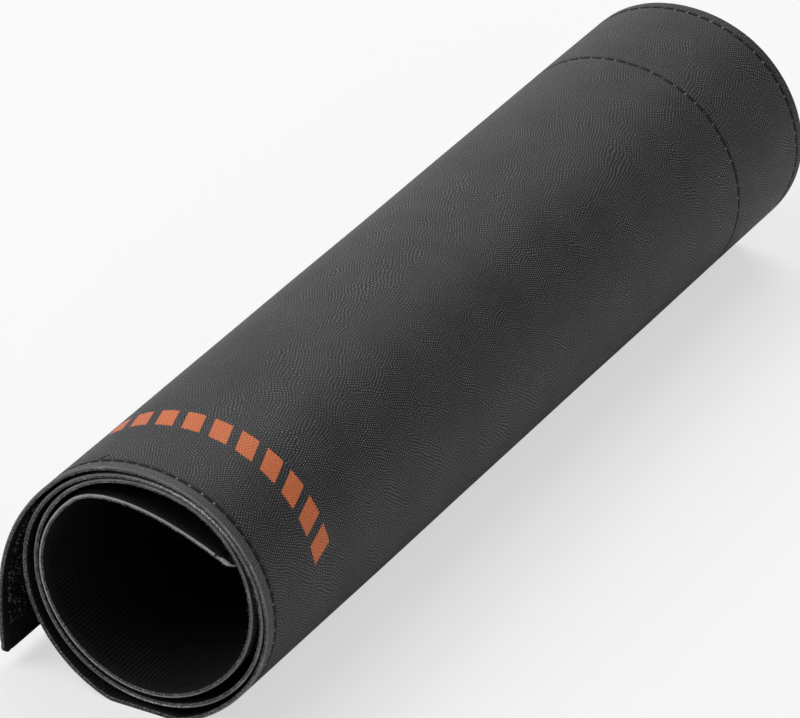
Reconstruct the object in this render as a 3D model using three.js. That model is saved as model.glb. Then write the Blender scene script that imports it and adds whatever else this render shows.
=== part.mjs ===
// A flexible dew shield for a telescope tube, rolled up and lying on its side.
//
// The shield is one long sheet: a pebbled cover outside, and a felt lining sewn to its back.
// It is wound into three and a half turns. The outer end stands off the roll and hangs down as a
// flap, and the inner end springs straight across the hollow core. A strip of hook tape and a strip
// of loop tape along the two ends close the sheet into a tube when it is in use.
//
// Millimetres, +Z up. The roll's axis runs along Y, and the sheet is drawn in the XZ plane:
// a spine curve follows the face where the cover and the lining meet, from the flap's tip inwards.

import * as THREE from 'three';

// The flat sheet
const SHIELD_DEPTH = 305;
const COVER_THICKNESS = 0.6;
const LINING_THICKNESS = 0.5;
const CORNER_RADIUS = 3;

// The tapes, sewn on along the sheet's two ends
const TAPE_WIDTH = 45;
const TAPE_THICKNESS = 0.9;
const TAPE_SIDE_MARGIN = 1.5;
const LOOP_TAPE_SETBACK = 8;
const HOOK_TAPE_SETBACK = 5;

// The roll: radius of the outer turn at eight compass points, clockwise from the upper left
// as seen from the front, and the air between each later stretch and the turn around it
const OUTER_RADII = [37.1, 35.8, 36.8, 37.6, 37.2, 38.9, 38.3, 37.2];
const AIR_GAPS = [1.0, 0.9, 0.35, 0.5, 1.2, 3.9, 3.3, 2.3, 0.8, 0.35, 0.35, 2.1, 2.7, 1.3, 1.2, 0.5, 1.4];
const COMPASS_STEP_ANGLE = 45;
const FIRST_COMPASS_ANGLE = 135;
const FULL_TURN_ANGLE = 360;
const BOTTOM_COMPASS_INDEX = 5;
const LEFT_COMPASS_INDEX = 7;

// The flat spot on which the soft roll rests: how far its weight presses the outer turn in,
// and the height over which the flat runs out into the round
const REST_SAG = 1.7;
const REST_RUNOUT = 0.3;

// The flap: its tip's place, and the share of its chord over which each end keeps its heading
const FLAP_STANDOFF = 6.8;
const FLAP_TIP_HEIGHT = 3.7;
const FLAP_TIP_CHORD_SHARE = 0.2;
const FLAP_ROOT_CHORD_SHARE = 0.51;

// The inner tail: where its end points, what it keeps clear of the turn outside it
const TAIL_END_ANGLE = 28.4;
const TAIL_END_HEADING_ANGLE = -27.5;
const TAIL_END_CLEARANCE = 1.2;
const TAIL_ROOT_CHORD_SHARE = 0.22;
const TAIL_END_CHORD_SHARE = 0.48;

// Facets
const FACET_LENGTH = 3.2;
const CORNER_FACETS = 5;
const LENGTH_DIVISIONS = 1600;

const SHEET_THICKNESS = COVER_THICKNESS + LINING_THICKNESS;
const AXIS_HEIGHT = OUTER_RADII[BOTTOM_COMPASS_INDEX] - REST_SAG;

const heading = (degrees) => {
  const angle = THREE.MathUtils.degToRad(degrees);
  return new THREE.Vector2(Math.cos(angle), Math.sin(angle));
};

// Spine radius against the angle wound since the flap's root, in degrees. The first eight values
// are the outer turn's, and each later one lies a sheet and an air gap inside the turn around it.
function spineRadius() {
  const radii = OUTER_RADII.map((radius) => radius - COVER_THICKNESS);
  for (const gap of AIR_GAPS) {
    radii.push(radii[radii.length - OUTER_RADII.length] - SHEET_THICKNESS - gap);
  }
  const angles = radii.map((radius, index) => index * COMPASS_STEP_ANGLE);
  const interpolant = new THREE.CubicInterpolant(angles, radii, 1);
  return {
    last: angles[angles.length - 1],
    at: (wound) => interpolant.evaluate(wound)[0],
  };
}

// Raises what lies below the table onto it, with a smooth run-out on each side of the flat
function settle(point) {
  const table = COVER_THICKNESS - AXIS_HEIGHT;
  const height = point.y - table;
  if (height <= -REST_RUNOUT) {
    point.y = table;
  } else if (height < REST_RUNOUT) {
    point.y = table + (height + REST_RUNOUT) ** 2 / (4 * REST_RUNOUT);
  }
  return point;
}

// The wound part of the spine, clockwise from the flap's root to the tail's root
class WoundTurns extends THREE.Curve {
  constructor(radius) {
    super();
    this.radius = radius;
    this.arcLengthDivisions = LENGTH_DIVISIONS;
  }

  getPoint(t, target = new THREE.Vector2()) {
    const wound = t * this.radius.last;
    const direction = heading(FIRST_COMPASS_ANGLE - wound);
    return settle(target.copy(direction).multiplyScalar(this.radius.at(wound)));
  }
}

// The flap hangs plumb at its tip and runs up into the outer turn
function flapCurve(root, rootHeading) {
  const tip = new THREE.Vector2(
    -(OUTER_RADII[LEFT_COMPASS_INDEX] + FLAP_STANDOFF + LINING_THICKNESS),
    FLAP_TIP_HEIGHT - AXIS_HEIGHT,
  );
  const chord = root.distanceTo(tip);
  const plumb = new THREE.Vector2(0, 1);
  return new THREE.CubicBezierCurve(
    tip,
    tip.clone().addScaledVector(plumb, chord * FLAP_TIP_CHORD_SHARE),
    root.clone().addScaledVector(rootHeading, -chord * FLAP_ROOT_CHORD_SHARE),
    root,
  );
}

// The tail leaves the innermost turn and ends just short of the turn outside it
function tailCurve(root, rootHeading, radius) {
  const woundAtRoot = FIRST_COMPASS_ANGLE - radius.last;
  const lastTurnStart = radius.last - FULL_TURN_ANGLE;
  const woundPastStart = THREE.MathUtils.euclideanModulo(woundAtRoot - TAIL_END_ANGLE, FULL_TURN_ANGLE);
  const outside = lastTurnStart + woundPastStart;
  const reach = radius.at(outside) - SHEET_THICKNESS - TAIL_END_CLEARANCE;
  const end = heading(TAIL_END_ANGLE).multiplyScalar(reach);
  const chord = root.distanceTo(end);
  return new THREE.CubicBezierCurve(
    root,
    root.clone().addScaledVector(rootHeading, chord * TAIL_ROOT_CHORD_SHARE),
    end.clone().addScaledVector(heading(TAIL_END_HEADING_ANGLE), -chord * TAIL_END_CHORD_SHARE),
    end,
  );
}

function spineCurve() {
  const radius = spineRadius();
  const turns = new WoundTurns(radius);
  const flap = flapCurve(turns.getPoint(0), turns.getTangent(0));
  const tail = tailCurve(turns.getPoint(1), turns.getTangent(1), radius);
  const spine = new THREE.CurvePath();
  spine.add(flap);
  spine.add(turns);
  spine.add(tail);
  return spine;
}

const spine = spineCurve();
const SHEET_LENGTH = spine.getLength();

const loopTape = { from: LOOP_TAPE_SETBACK, to: LOOP_TAPE_SETBACK + TAPE_WIDTH };
const hookTape = {
  from: SHEET_LENGTH - HOOK_TAPE_SETBACK - TAPE_WIDTH,
  to: SHEET_LENGTH - HOOK_TAPE_SETBACK,
};

// Distance from a rounded corner's end edge and the width lost there, a facet at a time
const cornerStations = Array.from({ length: CORNER_FACETS }, (unused, index) => {
  return CORNER_RADIUS * (1 - Math.cos((index / CORNER_FACETS) * Math.PI / 2));
});

// Where facets meet along the sheet: tape edges and corners exactly, and evenly between them
function sheetStations() {
  const fixed = [
    ...cornerStations, CORNER_RADIUS,
    loopTape.from, loopTape.to, hookTape.from, hookTape.to,
    SHEET_LENGTH - CORNER_RADIUS, ...cornerStations.map((distance) => SHEET_LENGTH - distance),
  ].sort((a, b) => a - b);
  const stations = [];
  for (let index = 0; index < fixed.length - 1; index += 1) {
    const span = fixed[index + 1] - fixed[index];
    const facets = Math.ceil(span / FACET_LENGTH);
    for (let facet = 0; facet < facets; facet += 1) {
      stations.push(fixed[index] + (span * facet) / facets);
    }
  }
  stations.push(SHEET_LENGTH);
  return stations;
}

// Each station with its point on the spine and the direction that faces out of the roll
const stations = sheetStations().map((distance) => {
  const t = distance / SHEET_LENGTH;
  const tangent = spine.getTangent(t);
  return { distance, point: spine.getPoint(t), outward: new THREE.Vector2(-tangent.y, tangent.x) };
});

// How far a rounded corner has drawn the sheet's side in at a distance along the sheet
function cornerInset(distance) {
  const fromEnd = Math.min(distance, SHEET_LENGTH - distance);
  if (fromEnd >= CORNER_RADIUS) return 0;
  return CORNER_RADIUS - Math.sqrt(CORNER_RADIUS ** 2 - (CORNER_RADIUS - fromEnd) ** 2);
}

// A flat strip rolled up along the spine. Its faces lie at two heights over the spine,
// and its sides at a margin from the sheet's two sides.
function rolledStrip({ from, to, low, high, margin }) {
  const slack = FACET_LENGTH / 1000;
  const run = stations.filter((station) => station.distance > from - slack && station.distance < to + slack);
  const strip = new THREE.BoxGeometry(1, 1, 1, run.length - 1, 1, 1);
  const position = strip.attributes.position;
  for (let index = 0; index < position.count; index += 1) {
    const station = run[Math.round((position.getX(index) + 0.5) * (run.length - 1))];
    const height = position.getZ(index) > 0 ? high : low;
    const inset = margin + cornerInset(station.distance);
    const across = position.getY(index) > 0 ? SHIELD_DEPTH - inset : inset;
    position.setXYZ(
      index,
      station.point.x + station.outward.x * height,
      across,
      station.point.y + station.outward.y * height,
    );
  }
  strip.computeVertexNormals();
  return strip;
}

function namedMesh(name, geometry, color, roughness) {
  const material = new THREE.MeshStandardMaterial({ color, roughness, metalness: 0 });
  const mesh = new THREE.Mesh(geometry, material);
  mesh.name = name;
  return mesh;
}

function coverSheet() {
  const geometry = rolledStrip({
    from: 0, to: SHEET_LENGTH, low: 0, high: COVER_THICKNESS, margin: 0,
  });
  return namedMesh('cover_sheet', geometry, 0x38393b, 0.55);
}

function feltLining() {
  const geometry = rolledStrip({
    from: 0, to: SHEET_LENGTH, low: -LINING_THICKNESS, high: 0, margin: 0,
  });
  return namedMesh('felt_lining', geometry, 0x131314, 0.95);
}

// Soft loops on the flap's inner face
function loopTapeStrip() {
  const geometry = rolledStrip({
    ...loopTape, low: -LINING_THICKNESS - TAPE_THICKNESS, high: -LINING_THICKNESS, margin: TAPE_SIDE_MARGIN,
  });
  return namedMesh('loop_tape', geometry, 0x1b1b1d, 0.9);
}

// Hooks on the outer face of the inner end
function hookTapeStrip() {
  const geometry = rolledStrip({
    ...hookTape, low: COVER_THICKNESS, high: COVER_THICKNESS + TAPE_THICKNESS, margin: TAPE_SIDE_MARGIN,
  });
  return namedMesh('hook_tape', geometry, 0x1b1b1d, 0.85);
}

// The origin is the middle of the roll's footprint, on the table
function dewShield() {
  const footprint = new THREE.Box2().setFromPoints(stations.map(({ point, outward }) => {
    return point.clone().addScaledVector(outward, COVER_THICKNESS);
  }));
  const group = new THREE.Group();
  group.add(coverSheet(), feltLining(), loopTapeStrip(), hookTapeStrip());
  group.position.set(-footprint.getCenter(new THREE.Vector2()).x, -SHIELD_DEPTH / 2, AXIS_HEIGHT);
  return group;
}

export default dewShield();
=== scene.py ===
import bpy
import numpy as np
from mathutils import Matrix


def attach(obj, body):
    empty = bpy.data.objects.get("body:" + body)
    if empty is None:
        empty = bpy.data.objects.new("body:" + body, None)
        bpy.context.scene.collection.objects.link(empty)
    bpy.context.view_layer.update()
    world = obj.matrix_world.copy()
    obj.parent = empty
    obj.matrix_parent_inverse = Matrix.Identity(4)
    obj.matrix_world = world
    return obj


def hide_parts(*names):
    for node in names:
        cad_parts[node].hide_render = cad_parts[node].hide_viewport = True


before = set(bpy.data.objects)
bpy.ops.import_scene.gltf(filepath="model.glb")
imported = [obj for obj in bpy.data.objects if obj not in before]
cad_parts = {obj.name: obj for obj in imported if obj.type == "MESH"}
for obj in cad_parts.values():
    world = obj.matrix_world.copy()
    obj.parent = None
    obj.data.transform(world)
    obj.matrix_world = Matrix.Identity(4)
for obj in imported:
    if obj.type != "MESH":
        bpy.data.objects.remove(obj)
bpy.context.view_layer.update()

# The camera stands in front of the open end, to the right of the roll's axis and above it, and
# looks at the roll through a long lens from just under two metres away.
turned_right, looking_down, tilted = np.radians([29.707, 29.795, -0.053])
camera_place = (0.795588, -1.405665, 0.954499)
towards_camera = np.array(
    [
        np.sin(turned_right) * np.cos(looking_down),
        -np.cos(turned_right) * np.cos(looking_down),
        np.sin(looking_down),
    ]
)
level = np.array([np.cos(turned_right), np.sin(turned_right), 0.0])
upright = np.cross(towards_camera, level)
camera = bpy.data.objects.new("camera", bpy.data.cameras.new("camera"))
bpy.context.scene.collection.objects.link(camera)
camera.matrix_world = Matrix.Translation(camera_place) @ Matrix(
    np.stack(
        [
            np.cos(tilted) * level + np.sin(tilted) * upright,
            np.cos(tilted) * upright - np.sin(tilted) * level,
            towards_camera,
        ],
        axis=1,
    ).tolist()
).to_4x4()
camera.data.sensor_width = 36
camera.data.lens = 302.05
camera.data.clip_start = 0.1
camera.data.clip_end = 50
bpy.context.scene.camera = camera

# The cover is the outer layer of the sheet: black leatherette with a pebbled grain, 0.6 mm thick
# on a pale knitted backing that shows as a grey line along every cut edge. It is wound into three
# and a half turns with the felt, and rows of black stitching hold the two together.
shield_depth = 0.305
cover_thickness = 0.0006
lining_thickness = 0.0005
corner_radius = 0.003
roll_axis = (3.957, 37.2)
outer_radii = [37.1, 35.8, 36.8, 37.6, 37.2, 38.9, 38.3, 37.2]
air_gaps = [1.0, 0.9, 0.35, 0.5, 1.2, 3.9, 3.3, 2.3, 0.8, 0.35, 0.35, 2.1, 2.7, 1.3, 1.2, 0.5, 1.4]
stitch_pitch = 0.0039
front_row = 0.00375
rear_row = shield_depth - 0.0036
band_row = shield_depth - 0.0405
end_row = 0.0036
wall_points = 4


def wind_the_sheet():
    """The line where cover and lining meet, in millimetres, from the flap's tip inwards.

    The flap and the tail are cubic curves. Between them the direction turns clockwise and the
    radius passes smoothly through one value every 45 degrees, each a sheet and an air gap inside
    the one a turn earlier. What lies below the table is pressed up onto it."""
    cover, sheet, table, runout = 0.6, 1.1, 0.6 - roll_axis[1], 0.3
    start_angle, step_angle, full_turn = 135, 45, 360
    tip_standoff, tip_height, flap_tip_share, flap_root_share = 6.8 + 0.5, 3.7, 0.2, 0.51
    tail_end_angle, tail_heading_angle, tail_clearance = 28.4, -27.5, 1.2
    tail_root_share, tail_end_share = 0.22, 0.48
    radii = [radius - cover for radius in outer_radii]
    for gap in air_gaps:
        radii.append(radii[-len(outer_radii)] - sheet - gap)
    radii = np.array(radii)
    steps = len(radii) - 1

    def wound_point(wound):
        step = np.clip((wound // step_angle).astype(int), 0, steps - 1)
        p = wound / step_angle - step
        first, last = step == 0, step == steps - 1
        before = np.where(first, radii[1], radii[step - 1])
        after = np.where(last, radii[-2], radii[np.minimum(step + 2, steps)])
        w0, w1 = np.where(first, -0.5, 0.5), np.where(last, -0.5, 0.5)
        radius = (
            (-w0 * p**3 + 2 * w0 * p**2 - w0 * p) * before
            + ((1 + w0) * p**3 - (1.5 + 2 * w0) * p**2 + (w0 - 0.5) * p + 1) * radii[step]
            + (-(1 + w1) * p**3 + (1.5 + w1) * p**2 + 0.5 * p) * radii[step + 1]
            + (w1 * p**3 - w1 * p**2) * after
        )
        turned = np.radians(start_angle - wound)
        x, z = radius * np.cos(turned), radius * np.sin(turned)
        over = z - table
        eased = table + (over + runout) ** 2 / (4 * runout)
        z = np.where(over <= -runout, table, np.where(over < runout, eased, z))
        return np.stack([x, z], axis=1), radius

    def cubic(a, b, c, d):
        u = np.linspace(0, 1, 3000)[:, None]
        return (1 - u) ** 3 * a + 3 * (1 - u) ** 2 * u * b + 3 * (1 - u) * u**2 * c + u**3 * d

    def unit(vector):
        return vector / np.linalg.norm(vector)

    def direction(degrees):
        return np.array([np.cos(np.radians(degrees)), np.sin(np.radians(degrees))])

    turns, _ = wound_point(np.linspace(0, step_angle * steps, 30000))
    tip = np.array([-(outer_radii[-1] + tip_standoff), tip_height - roll_axis[1]])
    root, root_heading = turns[0], unit(turns[1] - turns[0])
    chord = np.linalg.norm(root - tip)
    flap = cubic(tip, tip + [0, flap_tip_share * chord], root - flap_root_share * chord * root_heading, root)

    last_wound = step_angle * steps
    wound_outside = last_wound - full_turn + (start_angle - last_wound - tail_end_angle) % full_turn
    reach = wound_point(np.array([wound_outside]))[1][0] - sheet - tail_clearance
    end = reach * direction(tail_end_angle)
    start, start_heading = turns[-1], unit(turns[-1] - turns[-2])
    chord = np.linalg.norm(end - start)
    leaving, arriving = chord * start_heading, chord * direction(tail_heading_angle)
    tail = cubic(start, start + tail_root_share * leaving, end - tail_end_share * arriving, end)
    return np.concatenate([flap[:-1], turns, tail[1:]]) + roll_axis


line_points = wind_the_sheet() / 1000
line_run = np.concatenate([[0], np.cumsum(np.linalg.norm(np.diff(line_points, axis=0), axis=1))])
sheet_length = line_run[-1]
line_heading = np.gradient(line_points, line_run, axis=0)
line_heading /= np.linalg.norm(line_heading, axis=1)[:, None]


def unevenness(along, across):
    """How far the soft sheet strays from its even winding, in metres: three slow waves that run
    along and across the sheet, faded out where the sheet lies on the table."""
    clear_from, clear_over, size = 0.0015, 0.006, 0.00004
    clear = np.clip((np.interp(along, line_run, line_points[:, 1]) - clear_from) / clear_over, 0, 1)
    waves = (
        np.sin(along * 61 + 3 * np.sin(across * 17))
        + 0.7 * np.sin(across * 43 + along * 23 + 1.3)
        + 0.5 * np.sin(across * 88 - along * 71 + 0.4)
    )
    return size * waves * clear * clear * (3 - 2 * clear)


def on_the_roll(along, across, height):
    """Carries a point of the flat sheet to its place in the roll: the line's point at that length,
    moved out of the roll by its height over the line, and along Y by its distance from the front."""
    height = height + unevenness(along, across)
    x, z = (np.interp(along, line_run, values) for values in line_points.T)
    run_x, run_z = (np.interp(along, line_run, values) for values in line_heading.T)
    return np.stack([x - height * run_z, across - shield_depth / 2, z + height * run_x], axis=-1)


def pulled_in(along, across):
    """How deep the stitching draws the cover's face in, in metres: a soft channel along each row,
    deepest where the needle went through."""
    width, at_thread, more_at_hole = 0.0006, 0.00017, 0.00013
    rows = [(across - row, along) for row in (front_row, rear_row, band_row)]
    rows += [(along - row, across) for row in (end_row, sheet_length - end_row)]
    depth = np.zeros(np.broadcast(along, across).shape)
    for off, run in rows:
        at_hole = 0.5 + 0.5 * np.cos(2 * np.pi * run / stitch_pitch)
        depth = np.maximum(depth, np.exp(-((off / width) ** 2)) * (at_thread + more_at_hole * at_hole**3))
    return depth


def make_piece(name, flat_points, faces, finishes, finish_of_face=None):
    """A mesh of the roll from points of the flat sheet (along, across, height) and their faces.
    Faces are turned outwards by the sign of the volume, and each point keeps its flat place."""
    flat_points = flat_points.reshape(-1, 3)
    points = on_the_roll(*flat_points.T)
    corner = points[[face[0] for face in faces]]
    fans = [np.cross(points[[f[1] for f in faces]] - corner, points[[f[2] for f in faces]] - corner)]
    fans += [np.cross(points[[f[2] for f in faces]] - corner, points[[f[-1] for f in faces]] - corner)]
    middle = corner - points.mean(axis=0)
    if np.einsum("ij,ij->", middle, fans[0] + fans[1]) < 0:
        faces = [face[::-1] for face in faces]
    mesh = bpy.data.meshes.new(name)
    mesh.from_pydata(points, [], faces)
    mesh.attributes.new("flat_sheet", "FLOAT_VECTOR", "POINT").data.foreach_set(
        "vector", flat_points.astype(np.float32).ravel()
    )
    for finish in finishes:
        mesh.materials.append(finish)
    if finish_of_face is not None:
        mesh.polygons.foreach_set("material_index", finish_of_face)
    mesh.polygons.foreach_set("use_smooth", np.ones(len(mesh.polygons), bool))
    mesh.set_sharp_from_angle(angle=np.radians(50))
    mesh.update()
    piece = bpy.data.objects.new(name, mesh)
    bpy.context.scene.collection.objects.link(piece)
    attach(piece, "root")
    return piece


def strip_faces(rows, columns):
    """Quads between neighbouring rows of a grid of points, closed round its columns, and one face
    over each of its two ends."""
    row, column = np.meshgrid(np.arange(rows - 1), np.arange(columns), indexing="ij")
    start, beside = row * columns + column, row * columns + (column + 1) % columns
    quads = np.stack([start, beside, beside + columns, start + columns], axis=-1).reshape(-1, 4)
    ring = list(range(columns))
    return quads.tolist() + [ring, [(rows - 1) * columns + point for point in reversed(ring)]]


def corner_inset(along):
    """How far a rounded corner draws the sheet's side in: a quarter circle at each end."""
    from_end = np.minimum(along, sheet_length - along)
    off = np.clip(corner_radius - from_end, 0, corner_radius)
    return corner_radius - np.sqrt(corner_radius**2 - off**2)


def strip_loop(along, across, inner, low, high, ragged, rounds):
    """One closed loop of points round a strip at each length along it: across the outer face, down
    the rear edge, back across the inner face and up the front edge. The edges of the outer and the
    inner face are quarter circles of the two given radii, the cut edge between them is ragged by
    the given size, and near a rounded corner the points close up towards the row of stitching."""
    start, end, first, last = along[0], along[-1], across[0], across[-1]
    wall = np.linspace(0.85, 0.15, wall_points)
    outer_side = slice(0, len(across))
    rear_wall = slice(outer_side.stop, outer_side.stop + wall_points)
    inner_side = slice(rear_wall.stop, rear_wall.stop + len(inner))
    front_wall = slice(inner_side.stop, inner_side.stop + wall_points)
    columns = [across, np.full(wall_points, last), inner[::-1], np.full(wall_points, first)]
    columns = np.concatenate(columns)
    base = np.where(np.arange(len(columns)) < inner_side.start, high, low)
    along, across = np.meshgrid(along, columns, indexing="ij")
    height = np.broadcast_to(base, along.shape).copy()
    from_rim = np.minimum(np.minimum(across - first, last - across), np.minimum(along - start, end - along))
    for columns, radius, sign in ((outer_side, rounds[0], -1), (inner_side, rounds[1], 1)):
        off = np.clip(radius - from_rim[:, columns], 0, radius)
        height[:, columns] += sign * (radius - np.sqrt(radius**2 - off**2))
    for columns, share in ((rear_wall, wall), (front_wall, wall[::-1])):
        height[:, columns] = low + rounds[1] + (high - rounds[0] - low - rounds[1]) * share
    near, same = 0.0035, 1e-9
    from_side = np.minimum(across, shield_depth - across)
    moved = np.where(from_side < near, corner_inset(along) * (1 - from_side / near), 0)
    tatter = np.sin(along * 9100 + height * 21000) * np.sin(along * 3700 + 1.7) + 0.6 * np.sin(along * 15700)
    on_rim = (across - first < same) | (last - across < same)
    moved = moved + on_rim * ragged * (1.2 - tatter)
    across = np.where(across < shield_depth / 2, across + moved, across - moved)
    return np.stack([along, across, height], axis=-1)


def begin_finish(name, **constants):
    """A new finish. Gives its material, a function that adds a node and links or sets its inputs,
    and its surface shader, whose own sockets take the constants."""
    material = bpy.data.materials.new(name)
    material.use_nodes = True
    tree = material.node_tree
    surface = tree.nodes["Principled BSDF"]

    def connect(node, inputs):
        for name, value in inputs.items():
            socket = node.inputs[int(name[1:]) if name[0] == "_" else name.replace("_", " ")]
            if isinstance(value, bpy.types.NodeSocket):
                tree.links.new(value, socket)
            else:
                socket.default_value = value

    def add(kind, settings=None, **inputs):
        node = tree.nodes.new("ShaderNode" + kind)
        for setting, value in (settings or {}).items():
            setattr(node, setting, value)
        connect(node, inputs)
        return node

    connect(surface, constants)
    return material, add, surface


def flat_place(add):
    """Where a point of the surface lies on the flat sheet: along, across and height."""
    return add("Attribute", {"attribute_name": "flat_sheet"}).outputs["Vector"]


def drive(surface, **inputs):
    """Links what a finish works out to the sockets of its surface shader."""
    for name, value in inputs.items():
        surface.id_data.links.new(value, surface.inputs[name.replace("_", " ")])


def math(add, operation, *values):
    """One sum on numbers in a finish."""
    inputs = {f"_{index}": value for index, value in enumerate(values)}
    return add("Math", {"operation": operation}, **inputs).outputs[0]


def between(add, value, low, high):
    """Rises smoothly from 0 to 1 as the value goes from low to high."""
    node = add("MapRange", {"interpolation_type": "SMOOTHSTEP"}, Value=value, From_Min=low, From_Max=high)
    return node.outputs["Result"]


def least(add, *values):
    """The smallest of several numbers in a finish."""
    value = values[0]
    for other in values[1:]:
        value = math(add, "MINIMUM", value, other)
    return value


def off_by(add, value, middle):
    """How far a number in a finish is from a middle."""
    return math(add, "ABSOLUTE", math(add, "SUBTRACT", value, middle))


def ripple(add, value, pitch):
    """A wave from 0 to 1 that repeats every pitch."""
    sine = math(add, "SINE", math(add, "MULTIPLY", value, 2 * np.pi / pitch))
    return math(add, "MULTIPLY_ADD", sine, 0.5, 0.5)


def blend(add, share, first, second):
    """A colour that goes from the first to the second as the share goes from 0 to 1."""
    return add("Mix", {"data_type": "RGBA"}, _0=share, _6=first, _7=second).outputs[2]


def mottled(name, scale, low, high, dark, pale, **constants):
    """A finish for fine threads, which goes from dark to pale as noise over the flat sheet goes
    from low to high."""
    finish, add, surface = begin_finish(name, **constants)
    shade = add("TexNoise", Vector=flat_place(add), Scale=scale, Detail=1.0).outputs[0]
    drive(surface, Base_Color=blend(add, between(add, shade, low, high), dark, pale))
    return finish


# The grain is a honeycomb of raised dots, the sum of three waves that cross at 60 degrees, on a sheet
# whose place is bent by soft noise so that the rows of dots wander.
grain_pitch = 0.00085
leatherette, add, surface = begin_finish("pebbled_leatherette", Specular_IOR_Level=0.4)
place = flat_place(add)
bent = place
for noise_scale, reach in ((24.0, 0.009), (105.0, 0.0031), (520.0, 0.00072)):
    drift = add("TexNoise", Vector=place, Scale=noise_scale, Detail=0.5, Roughness=0.4).outputs["Color"]
    drift = add("VectorMath", {"operation": "SUBTRACT"}, _0=drift, _1=(0.5, 0.5, 0.5)).outputs[0]
    reach = (reach, reach, 0)
    bent = add("VectorMath", {"operation": "MULTIPLY_ADD"}, _0=drift, _1=reach, _2=bent).outputs[0]
steepness = 4 * np.pi / np.sqrt(3) / grain_pitch
dots = 0.0
for turned in np.radians([20, 80, 140]):
    wave = (float(steepness * np.cos(turned)), float(steepness * np.sin(turned)), 0.0)
    crest = add("VectorMath", {"operation": "DOT_PRODUCT"}, _0=bent, _1=wave).outputs["Value"]
    dots = math(add, "ADD", math(add, "COSINE", crest), dots)
creases = add("TexNoise", Vector=place, Scale=1500.0, Detail=2.0, Roughness=0.6).outputs[0]
patches = add("TexNoise", Vector=place, Scale=60.0, Detail=3.0).outputs[0]
dots = math(add, "MULTIPLY_ADD", math(add, "SUBTRACT", creases, 0.5), 2.4, dots)
crown = between(add, dots, 0.4, 2.6)
split = add("SeparateXYZ", Vector=place)
along, across = split.outputs[0], split.outputs[1]
# The dot crowns are painted paler and the hollows between them darker: partly wear, partly a painted
# highlight on the crowns and painted shade in the hollows.
wear_and_sheen = math(add, "MULTIPLY_ADD", patches, 1.3, math(add, "MULTIPLY_ADD", creases, 0.9, -0.2))
tone = math(add, "MULTIPLY", crown, wear_and_sheen)
vinyl = blend(add, tone, (0.0028, 0.0029, 0.0031, 1), (0.19, 0.191, 0.197, 1))

# The rim in front of the first row is painted paler, a painted highlight on its rounded lip, and the
# cover is darker over the last stretch of the inner end. Each row of stitching lies in a channel with
# painted shade, which lets up at the holes, and some of the holes have small pale specks.
# Painted highlight on the rounded lip in front of the first row.
painted_lip_light = between(add, across, front_row - 0.0004, front_row - 0.0012)
painted_lip_light = math(add, "MULTIPLY", painted_lip_light, math(add, "MULTIPLY_ADD", creases, 0.9, 0.05))
vinyl = blend(add, painted_lip_light, vinyl, (0.09, 0.091, 0.094, 1))
# The cover is darker over the last stretch of the inner end.
darker_inner_end = math(add, "MULTIPLY", between(add, along, sheet_length - 0.056, sheet_length - 0.05), 0.85)
vinyl = blend(add, darker_inner_end, vinyl, (0.003, 0.003, 0.0031, 1))
off_row = least(add, *(off_by(add, across, row) for row in (front_row, rear_row, band_row)))
off_seam = least(add, off_row, *(off_by(add, along, row) for row in (end_row, sheet_length - end_row)))
phase = math(add, "DIVIDE", math(add, "ADD", along, stitch_pitch / 2), stitch_pitch)
past_hole = math(add, "MULTIPLY", off_by(add, math(add, "FRACT", phase), 0.5), stitch_pitch)
between_holes = math(add, "MULTIPLY_ADD", between(add, past_hole, 0.0004, 0.0008), 0.75, 0.25)
# Painted shade: the colour darkens along each stitch channel, less at the needle holes.
channel = math(add, "MULTIPLY", between(add, off_seam, 0.001, 0.0005), between_holes)
vinyl = blend(add, channel, vinyl, (0.0012, 0.0012, 0.0013, 1))
# Small pale specks at some of the needle holes.
squares = math(add, "ADD", math(add, "POWER", past_hole, 2.0), math(add, "POWER", off_row, 2.0))
speckled_holes = between(add, add("TexNoise", Vector=place, Scale=110.0).outputs[0], 0.43, 0.56)
hole = math(add, "MULTIPLY", between(add, math(add, "SQRT", squares), 0.00042, 0.00024), speckled_holes)
vinyl = blend(add, hole, vinyl, (0.2, 0.2, 0.204, 1))

# The band of print is a row of plain slanted bars in orange ink, laid thickly over the grain.
band_from, band_to, bars_from, bars_to = 0.0248, 0.0334, 0.0735, 0.1535
bar_pitch, bar_slant, bar_share, soft = 0.0081, 0.32, 0.67, 0.012
slant = math(add, "MULTIPLY_ADD", across, bar_slant, along)
phase = math(add, "FRACT", math(add, "DIVIDE", math(add, "SUBTRACT", slant, bars_from), bar_pitch))
wavering = math(add, "MULTIPLY", math(add, "SUBTRACT", dots, 0.5), 0.00009)
bar = math(add, "MULTIPLY", between(add, phase, 0.0, soft), between(add, phase, bar_share, bar_share - soft))
for value, edge, full, shift in (
    (across, band_from, band_from + 0.00012, "ADD"),
    (across, band_to, band_to - 0.00012, "SUBTRACT"),
    (slant, bars_from, bars_from + 0.0001, "ADD"),
    (slant, bars_to, bars_to - 0.0001, "SUBTRACT"),
):
    bar = math(add, "MULTIPLY", bar, between(add, math(add, shift, value, wavering), edge, full))
# The ink's crowns are painted paler too, a painted highlight.
ink = blend(add, crown, (0.58, 0.128, 0.034, 1), (0.93, 0.31, 0.115, 1))
grain = math(add, "MULTIPLY_ADD", creases, 0.35, crown)
drive(
    surface,
    Base_Color=blend(add, bar, vinyl, ink),
    Roughness=math(add, "MULTIPLY_ADD", crown, -0.14, 0.56),
    Normal=add("Bump", Height=grain, Distance=0.0002, Strength=1.0).outputs[0],
)
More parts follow.
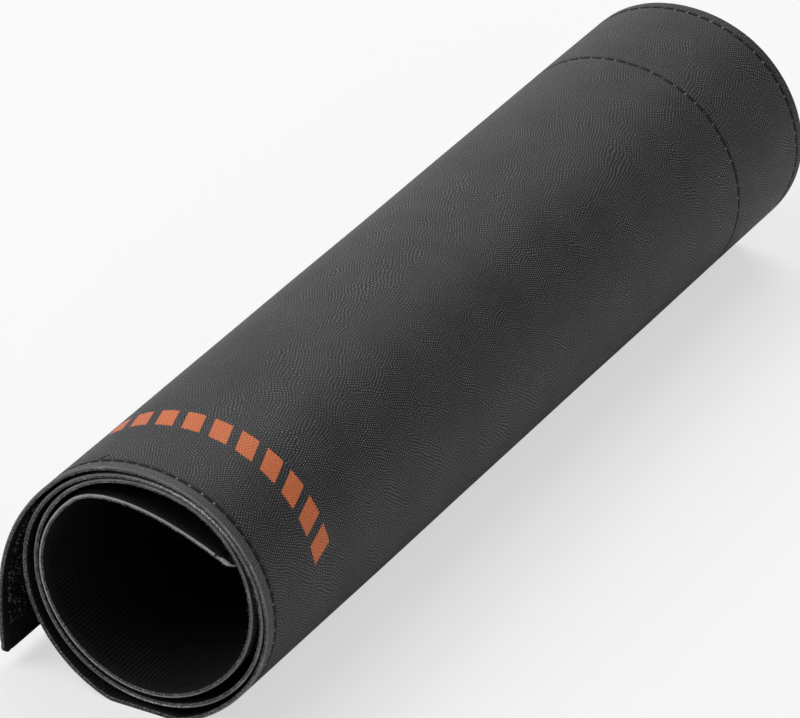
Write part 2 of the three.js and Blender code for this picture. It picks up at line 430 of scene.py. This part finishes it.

# The backing's cut edge is grey and uneven: palest towards the inner end, darker over part of the
# outer turn and nicked just before the knot, with painted glints scattered along it and more at two
# places of the second turn.
backing, add, surface = begin_finish("knitted_backing", Roughness=0.85, Specular_IOR_Level=0.25)
place = flat_place(add)
along = add("SeparateXYZ", Vector=place).outputs[0]
fibres = add("TexNoise", Vector=place, Scale=2300.0, Detail=3.0, Roughness=0.7).outputs[0]
clumps = add("TexNoise", Vector=place, Scale=70.0, Detail=3.0).outputs[0]
inmost = between(add, along, sheet_length - 0.15, sheet_length - 0.11)
# The edge is darker over part of the outer turn.
darker_outer_stretch = between(add, off_by(add, along, 0.235), 0.05, 0.035)
fuzz = math(add, "MULTIPLY_ADD", darker_outer_stretch, -0.6, math(add, "MULTIPLY_ADD", fibres, 0.7, 0.65))
tone = math(add, "MULTIPLY_ADD", clumps, 0.5, math(add, "MULTIPLY_ADD", inmost, 0.45, 0.14))
tone = math(add, "MULTIPLY", tone, fuzz)
nick = between(add, off_by(add, along, sheet_length - 0.0058), 0.0005, 0.0003)
tone = math(add, "MULTIPLY", tone, math(add, "SUBTRACT", 1.0, nick))
edge_grey = blend(add, tone, (0.012, 0.012, 0.0122, 1), (0.4, 0.4, 0.405, 1))
# Painted glints: pale specks at two places of the second turn, and scattered ones over the whole edge.
painted_glints_second_turn = least(add, off_by(add, along, 0.338), off_by(add, along, 0.428))
painted_glints_second_turn = math(add, "MULTIPLY", between(add, painted_glints_second_turn, 0.017, 0.007), between(add, fibres, 0.47, 0.6))
glint = math(add, "MULTIPLY", between(add, fibres, 0.58, 0.68), between(add, clumps, 0.5, 0.58))
edge_grey = blend(add, math(add, "MAXIMUM", glint, painted_glints_second_turn), edge_grey, (0.7, 0.7, 0.71, 1))
drive(surface, Base_Color=edge_grey, Normal=add("Bump", Height=fibres, Distance=0.0002).outputs[0])

round_corner = corner_radius * (1 - np.cos(np.linspace(0, np.pi / 2, 9)))
lengthwise = np.concatenate([
    round_corner,
    np.arange(0.0033, 0.0042, 0.0003),
    np.arange(0.0047, sheet_length - 0.0047, 0.00097),
    sheet_length - np.arange(0.0033, 0.0042, 0.0003)[::-1],
    sheet_length - round_corner[::-1],
])
beside_row = np.array([-0.0011, -0.0007, -0.0004, -0.00015, 0.00015, 0.0004, 0.0007, 0.0011])
edge_round, rounded_quads = 0.0003, 5
near_edge = np.array([0.0, 0.00002, 0.00006, 0.00012, 0.0002, 0.0003, 0.0006, 0.0011, 0.0018])
widthwise = np.concatenate([
    near_edge,
    front_row + beside_row,
    np.linspace(0.006, band_row - 0.002, 34),
    band_row + beside_row,
    np.linspace(band_row + 0.002, rear_row - 0.002, 5),
    rear_row + beside_row,
    shield_depth - near_edge[::-1],
])
hidden = np.concatenate([
    near_edge[::4],
    np.linspace(0.01, shield_depth - 0.01, 6),
    shield_depth - near_edge[::-4],
])
loop = strip_loop(lengthwise, widthwise, hidden, 0, cover_thickness, 0.00006, (edge_round, 0))
outer_count, columns = len(widthwise), loop.shape[1]
loop[:, :outer_count, 2] -= pulled_in(loop[:, :outer_count, 0], loop[:, :outer_count, 1])
column_of_face = np.tile(np.arange(columns), len(lengthwise) - 1)
is_edge = (column_of_face >= outer_count - 1 - rounded_quads) | (column_of_face < rounded_quads)
finish_of_face = np.append(is_edge, [True, True]).astype(np.int32)
faces = strip_faces(len(lengthwise), columns)
cover = make_piece("cover", loop, faces, [leatherette, backing], finish_of_face)
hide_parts("cover_sheet")

# The lining is black felt, 0.5 mm thick, laid face to face with the cover and sewn to it. Fine ribs
# of needled tufts run along the roll's axis, the felt is paler in front of the first row, and its cut
# edges are slightly frayed.
rib_pitch, tuft_pitch = 0.00115, 0.0009
felt, add, surface = begin_finish("ribbed_felt", Roughness=0.95, Specular_IOR_Level=0.06)
place = flat_place(add)
split = add("SeparateXYZ", Vector=place)
along, across = split.outputs[0], split.outputs[1]
nap = add("TexNoise", Vector=place, Scale=1900.0, Detail=4.0, Roughness=0.7).outputs[0]
matting = add("TexNoise", Vector=place, Scale=90.0, Detail=3.0, Roughness=0.6).outputs[0]
rib = ripple(add, math(add, "MULTIPLY_ADD", matting, 0.0007, along), rib_pitch)
tufts = ripple(add, across, tuft_pitch)
raised = math(add, "MULTIPLY", rib, math(add, "MULTIPLY_ADD", tufts, 0.5, 0.5))
raised = math(add, "MULTIPLY", raised, math(add, "MULTIPLY_ADD", matting, 1.0, 0.4))
fuzz = math(add, "MULTIPLY_ADD", nap, 1.1, 0.3)
tone = math(add, "MULTIPLY", math(add, "MULTIPLY_ADD", raised, 0.9, 0.12), fuzz)
black = blend(add, tone, (0.0013, 0.0013, 0.00135, 1), (0.026, 0.026, 0.0265, 1))
# The felt is paler in front of the first row.
paler_front_band = between(add, across, front_row + 0.0008, front_row - 0.002)
paler_front_band = math(add, "MULTIPLY", paler_front_band, math(add, "MULTIPLY_ADD", nap, 0.8, 0.2))
black = blend(add, paler_front_band, black, (0.019, 0.019, 0.0193, 1))
from_side = least(add, across, math(add, "SUBTRACT", shield_depth, across))
from_end = least(add, along, math(add, "SUBTRACT", sheet_length, along))
cut = between(add, least(add, from_side, from_end), 0.0006, 0.0001)
teased = math(add, "MULTIPLY_ADD", between(add, nap, 0.46, 0.62), 0.8, 0.2)
black = blend(add, math(add, "MULTIPLY", cut, teased), black, (0.27, 0.27, 0.273, 1))
relief = math(add, "MULTIPLY_ADD", raised, 1.2, nap)
drive(
    surface,
    Base_Color=black,
    Normal=add("Bump", Height=relief, Distance=0.00022, Strength=1.0).outputs[0],
)

near_edge = np.array([0.0, 0.00003, 0.0001, 0.00025, 0.0006, 0.0015, 0.0027, 0.0034, 0.0041, 0.0048])
widthwise = np.concatenate([
    near_edge,
    np.linspace(0.006, shield_depth - 0.006, 30),
    shield_depth - near_edge[::-1],
])
loop = strip_loop(lengthwise, widthwise, widthwise, -lining_thickness, 0, 0.00011, (0, 0.00025))
inner = slice(len(widthwise) + wall_points, 2 * len(widthwise) + wall_points)
loop[:, inner, 2] += 0.5 * pulled_in(loop[:, inner, 0], loop[:, inner, 1])
lining = make_piece("lining", loop, strip_faces(len(lengthwise), loop.shape[1]), [felt])
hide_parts("felt_lining")

# The closure is a pair of black woven tapes, 45 mm wide and 0.9 mm thick: soft loops on the flap's
# inner face, and hooks on the outer face of the inner end. Both are sewn down round their edges.
tape_width, tape_ground, tape_margin = 0.045, 0.0006, 0.0015
loop_tape_from = 0.008
hook_tape_from = sheet_length - 0.005 - tape_width
warp_pitch, weft_pitch = 0.0006, 0.0005

woven, add, surface = begin_finish("woven_tape", Roughness=0.92, Specular_IOR_Level=0.06)
place = flat_place(add)
split = add("SeparateXYZ", Vector=place)
warp = math(add, "SINE", math(add, "MULTIPLY", split.outputs[0], 2 * np.pi / warp_pitch))
weft = math(add, "SINE", math(add, "MULTIPLY", split.outputs[1], 2 * np.pi / weft_pitch))
ground = math(add, "MULTIPLY_ADD", math(add, "MULTIPLY", warp, weft), 0.5, 0.5)
lint = add("TexNoise", Vector=place, Scale=700.0, Detail=4.0, Roughness=0.7).outputs[0]
tone = math(add, "MULTIPLY_ADD", ground, 0.4, math(add, "MULTIPLY", lint, 0.6))
drive(
    surface,
    Base_Color=blend(add, tone, (0.001, 0.001, 0.00105, 1), (0.013, 0.013, 0.0134, 1)),
    Normal=add("Bump", Height=math(add, "ADD", ground, lint), Distance=0.00015).outputs[0],
)


def tape(name, start, low, high, node):
    """A flat closed strip of tape on the sheet, its section a rectangle with softened corners."""
    edge, inset = np.array([0, 0.00003, 0.00012]), 0.001
    along = np.concatenate([edge, np.linspace(inset, tape_width - inset, 43), tape_width - edge[::-1]])
    width = shield_depth - 2 * tape_margin
    across = np.concatenate([edge, np.linspace(inset, width - inset, 120), width - edge[::-1]])
    across = across + tape_margin
    loop = strip_loop(along + start, across, across, low, high, 0, (0.00012, 0.00012))
    piece = make_piece(name, loop, strip_faces(len(along), loop.shape[1]), [woven])
    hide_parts(node)
    return piece


loop_face, hook_face = -lining_thickness - tape_ground, cover_thickness + tape_ground
loop_base = tape("loop_tape_ground", loop_tape_from, loop_face, -lining_thickness, "loop_tape")
hook_base = tape("hook_tape_ground", hook_tape_from, cover_thickness, hook_face, "hook_tape")


def threads(name, paths, side, radius, sides, finish):
    """Fine round threads on the sheet, each closed by flat ends. A path is a row of points of the
    flat sheet in one upright plane, and `side` is that plane's normal: every point gets a ring of
    the given radius, turned square to the path there."""
    count, length = paths.shape[:2]
    heading = np.gradient(paths, axis=1)
    heading /= np.linalg.norm(heading, axis=2, keepdims=True)
    side = np.broadcast_to(side[:, None], paths.shape)
    upper = np.cross(heading, side)
    turn = np.arange(sides)[:, None] * 2 * np.pi / sides
    radius = np.broadcast_to(radius, (count, length))[:, :, None, None]
    rings = paths[:, :, None] + radius * (np.cos(turn) * side[:, :, None] + np.sin(turn) * upper[:, :, None])
    ring, start = np.arange(length - 1)[:, None] * sides, np.arange(sides)
    beside = (start + 1) % sides
    walls = [ring + start, ring + beside, ring + sides + beside, ring + sides + start]
    walls = np.stack(walls, axis=-1).reshape(-1, 4)
    fan = np.stack([np.zeros(sides - 2, int), np.arange(1, sides - 1), np.arange(2, sides)], axis=1)
    ends = np.concatenate([fan[:, ::-1], fan + (length - 1) * sides])
    first = np.arange(count)[:, None, None] * length * sides
    faces = (walls + first).reshape(-1, 4).tolist() + (ends + first).reshape(-1, 3).tolist()
    piece = make_piece(name, rings, faces, [finish])


def pile(name, foot, facing, sideways, height, radius, finish):
    """Filaments of a tape, each in an upright plane that turns about its foot. Every point of a
    filament has its distance from the foot, in the direction that it faces, and its height."""
    run = np.stack([np.cos(facing), np.sin(facing)], axis=1)
    flat = foot[:, None] + sideways[:, :, None] * run[:, None]
    paths = np.concatenate([flat, height[..., None]], axis=2)
    threads(name, paths, np.stack([run[:, 1], -run[:, 0], 0 * facing], axis=1), radius, 3, finish)


# The loops are soft fine filaments that stand up from the ground in random arches, more thickly
# towards the front, and a few of them are painted pale as painted highlights.
draw = np.random.default_rng(21)
count, side_inset, end_inset = 3300, 0.0006, 0.0022
foot = np.stack([
    draw.uniform(side_inset, tape_width - side_inset, count) + loop_tape_from,
    draw.uniform(end_inset, shield_depth - end_inset, count),
], axis=1)
toward_front = draw.random(count) < 0.45
foot[toward_front, 1] = end_inset + 0.045 * draw.random(toward_front.sum()) ** 1.5
facing = draw.uniform(0, 2 * np.pi, count)
reach, rise = draw.uniform(0.00025, 0.0006, count), draw.uniform(0.0003, 0.0008, count)
arch = np.linspace(-1, 1, 9)
lean = draw.uniform(-0.0003, 0.0003, count)
spread = reach[:, None] * np.sin(arch * 1.9) + lean[:, None] * (1 - arch**2)
height = loop_face + 0.0001 - rise[:, None] * (1 - arch**2)
# Noise paints some of the filaments pale: painted highlights.
filament = mottled(
    "filament", 1100.0, 0.53, 0.68, (0.005, 0.005, 0.0052, 1), (0.5, 0.5, 0.503, 1),
    Roughness=0.45, Specular_IOR_Level=0.5,
)
pile("loop_pile", foot, facing, spread, height, 0.00004, filament)

# The hooks are stiffer filaments cut through at one side, set in rows.
hook_row_pitch, hook_pitch = 0.0013, 0.0021
rows, per_row = np.meshgrid(
    np.arange(0.0015, tape_width - 0.001, hook_row_pitch),
    np.arange(0.0032, shield_depth - 0.003, hook_pitch),
    indexing="ij",
)
foot = np.stack([rows.ravel() + hook_tape_from, per_row.ravel()], axis=1)
foot = foot + draw.uniform(-0.0003, 0.0003, (rows.size, 2))
count = len(foot)
facing = draw.choice([0.0, np.pi], count) + draw.normal(0, 0.25, count)
bend = np.array([(0, -0.1), (0, 0.42), (0.12, 0.8), (0.36, 0.88), (0.52, 0.62)])
size = draw.uniform(0.00033, 0.0004, count)[:, None]
stiff = mottled(
    "stiff_filament", 700.0, 0.4, 0.65, (0.003, 0.003, 0.0031, 1), (0.014, 0.014, 0.0145, 1),
    Roughness=0.6, Specular_IOR_Level=0.15,
)
pile("hook_pile", foot, facing, size * bend[:, 0], hook_face + size * bend[:, 1], 0.00005, stiff)

# The sheet is lockstitched with black thread round its four sides and along the rear band, and
# each tape round its own edges. The stitches lie flush in their channels on both faces.
thread_radius, thread_sides = 0.00022, 5
sewing, add, surface = begin_finish("sewing_thread", Roughness=0.65, Specular_IOR_Level=0.2)
steepness = (9000.0, 9000.0, 9000.0)
twist = add("VectorMath", {"operation": "DOT_PRODUCT"}, _0=flat_place(add), _1=steepness).outputs["Value"]
plies = math(add, "MULTIPLY_ADD", math(add, "SINE", twist), 0.5, 0.5)
drive(
    surface,
    Base_Color=blend(add, plies, (0.001, 0.001, 0.0011, 1), (0.009, 0.009, 0.0093, 1)),
    Normal=add("Bump", Height=plies, Distance=0.00005).outputs[0],
)


def sew(name, long_rows, cross_rows, outward):
    """Rows of stitches on one face. Each row has its place, its two ends, and the height of the face
    under it. A stitch runs straight and flat between two holes and dips into both."""
    draw = np.random.default_rng(len(long_rows) + 5)
    reach = np.array([-1, -0.86, -0.55, 0, 0.55, 0.86, 1]) * 0.43 * stitch_pitch
    sunk = np.array([0.00034, 0.00012, 0.00002, 0, 0.00002, 0.00012, 0.00034]) + thread_radius - 0.00003
    paths, normals = [], []
    for rows, lengthways in ((long_rows, True), (cross_rows, False)):
        for place, start, end, face in rows:
            first, last = np.ceil(start / stitch_pitch), np.floor(end / stitch_pitch)
            middle = np.arange(first + 0.5, last) * stitch_pitch
            middle = middle + draw.normal(0, 0.00006, len(middle))
            skew = draw.normal(0, 0.025, len(middle))
            run = middle[:, None] + reach
            off = place + skew[:, None] * reach
            over = face(run) if lengthways else face(np.full_like(run, place))
            height = over - outward * (sunk + np.abs(draw.normal(0, 0.00001, len(middle)))[:, None])
            ordered = (run, off, height) if lengthways else (off, run, height)
            paths.append(np.stack(np.broadcast_arrays(*ordered), axis=2))
            normals.append(np.tile((0.0, 1.0, 0.0) if lengthways else (1.0, 0.0, 0.0), (len(middle), 1)))
    paths, normals = np.concatenate(paths), np.concatenate(normals)
    threads(name, paths, normals, thread_radius, thread_sides, sewing)


def outer_face(along):
    """Height of the outer face over the line: the cover, and the hook tape's ground where it lies."""
    on_tape = (along > hook_tape_from) & (along < hook_tape_from + tape_width)
    return cover_thickness + tape_ground * on_tape


def inner_face(along):
    """Height of the inner face over the line: the felt, and the loop tape's ground where it lies."""
    on_tape = (along > loop_tape_from) & (along < loop_tape_from + tape_width)
    return -lining_thickness - tape_ground * on_tape


long_rows = [(row, end_row, sheet_length - end_row) for row in (front_row, rear_row, band_row)]
cross_rows = [(row, front_row, rear_row) for row in (end_row, sheet_length - end_row)]
seam_inset = 0.0015
tape_sides = (0.0062, shield_depth - 0.0066)
for name, face, outward, start in (
    ("outer_stitches", outer_face, 1, loop_tape_from),
    ("inner_stitches", inner_face, -1, hook_tape_from),
):
    here = [(row, start + seam_inset, start + tape_width - seam_inset) for row in tape_sides]
    round_tape = [(start + off, *tape_sides) for off in (0.0016, tape_width - 0.0016)]
    along_rows = [(*row, face) for row in long_rows + here]
    sew(name, along_rows, [(*row, face) for row in cross_rows + round_tape], outward)

# The sewing left two things at the front: a short thread end that stands up from the row of
# stitches on top of the roll, and a pale knot on the cut edge of the inner end.
step = np.linspace(0, 1, 8)
thread_end = np.stack([
    0.0785 + 0.0016 * step,
    front_row - 0.0014 * np.sin(1.5 * step) + 0.0034 * step**2,
    cover_thickness + 0.0009 * np.sin(2.6 * step),
], axis=1)
threads("thread_end", thread_end[None], np.array([[0.6, -0.8, 0.0]]), 0.00011, thread_sides, sewing)
knot = np.stack([
    sheet_length - 0.0047 + 0.0037 * step,
    0.00035 + 0.0004 * step,
    0.0002 + 0.0001 * np.sin(9 * step),
], axis=1)
plump = 0.00062 * np.sqrt(np.clip(1.02 - (2 * step - 1) ** 2, 0, 1))
threads("end_knot", knot[None], np.array([[0.0, 1.0, 0.0]]), plump[None], 10, backing)

# Fine fibres of felt and backing stand out all along the cut edges.
draw = np.random.default_rng(4)
count = 3000
begin = np.stack([
    draw.uniform(0.001, sheet_length - 0.001, count),
    np.zeros(count),
    draw.uniform(-0.00045, 0.0004, count),
], axis=1)
at_front = draw.random(count) < 0.65
inset = corner_inset(begin[:, 0]) + 0.00005
begin[:, 1] = np.where(at_front, inset, shield_depth - inset)
sideways, outwards = draw.normal(0, 0.7, count), np.where(at_front, -1.0, 1.0)
out = np.stack([sideways, outwards, draw.normal(-0.3, 0.6, count)], axis=1)
out /= np.linalg.norm(out, axis=1)[:, None]
bow = np.cross(out, draw.normal(0, 1, (count, 3)))
bow /= np.linalg.norm(bow, axis=1)[:, None]
reach = draw.uniform(0.0002, 0.0008, count)[:, None, None]
step = np.linspace(0, 1, 5)[:, None]
paths = begin[:, None] + reach * (step * out[:, None] + 0.35 * step**2 * bow[:, None])
clear = on_the_roll(*np.moveaxis(paths, 2, 0))[..., 2].min(axis=1) > 0.0001
fibre = mottled(
    "fibre", 900.0, 0.4, 0.65, (0.012, 0.012, 0.0122, 1), (0.2, 0.2, 0.202, 1),
    Roughness=0.8, Specular_IOR_Level=0.2,
)
threads("edge_fibres", paths[clear], np.cross(out, bow)[clear], 0.000028, 3, fibre)

# The floor is a plain pale sweep, lit by four wide soft lamps and a pale room. It shows nearly
# white to the camera and still carries the roll's soft shadow.
floor_mesh = bpy.data.meshes.new("floor")
floor_mesh.from_pydata([(-6, -6, 0), (6, -6, 0), (6, 9, 0), (-6, 9, 0)], [], [(0, 1, 2, 3)])
floor = bpy.data.objects.new("floor", floor_mesh)
bpy.context.scene.collection.objects.link(floor)
pale = (0.86, 0.86, 0.86, 1)
paper, add, surface = begin_finish("pale_paper", Base_Color=pale, Roughness=0.9, Specular_IOR_Level=0.1)
glow = add("Emission", Color=(1, 1, 1, 1), Strength=1.0)
seen = add("LightPath").outputs["Is Camera Ray"]
mixed = add("MixShader", _0=math(add, "MULTIPLY", seen, 0.6), _1=surface.outputs[0], _2=glow.outputs[0])
sheet_out = [node for node in surface.id_data.nodes if node.type == "OUTPUT_MATERIAL"][0]
surface.id_data.links.new(mixed.outputs[0], sheet_out.inputs["Surface"])
floor_mesh.materials.append(paper)

for name, place, size, power in (
    ("lamp_left", (-1.1, -1.0, 1.5), 1.4, 23.0),
    ("lamp_right", (1.6, -0.9, 1.1), 1.2, 3.0),
    ("lamp_above", (-0.2, 1.1, 1.9), 1.6, 20.0),
    ("lamp_behind", (-1.7, 2.3, 0.8), 1.2, 6.0),
):
    lamp = bpy.data.objects.new(name, bpy.data.lights.new(name, "AREA"))
    lamp.data.shape, lamp.data.size, lamp.data.energy = "DISK", size, power
    bpy.context.scene.collection.objects.link(lamp)
    place = np.array(place)
    away = place / np.linalg.norm(place)
    side = np.cross((0, 0, 1), away)
    side /= np.linalg.norm(side)
    lamp.matrix_world = Matrix.Translation(place.tolist()) @ Matrix(
        np.stack([side, np.cross(away, side), away], axis=1).tolist()
    ).to_4x4()

room = bpy.data.worlds.new("room")
bpy.context.scene.world = room
room.use_nodes = True
room.node_tree.nodes["Background"].inputs["Color"].default_value = (1, 1, 1, 1)
room.node_tree.nodes["Background"].inputs["Strength"].default_value = 0.3
bpy.context.scene.view_settings.view_transform = "Standard"
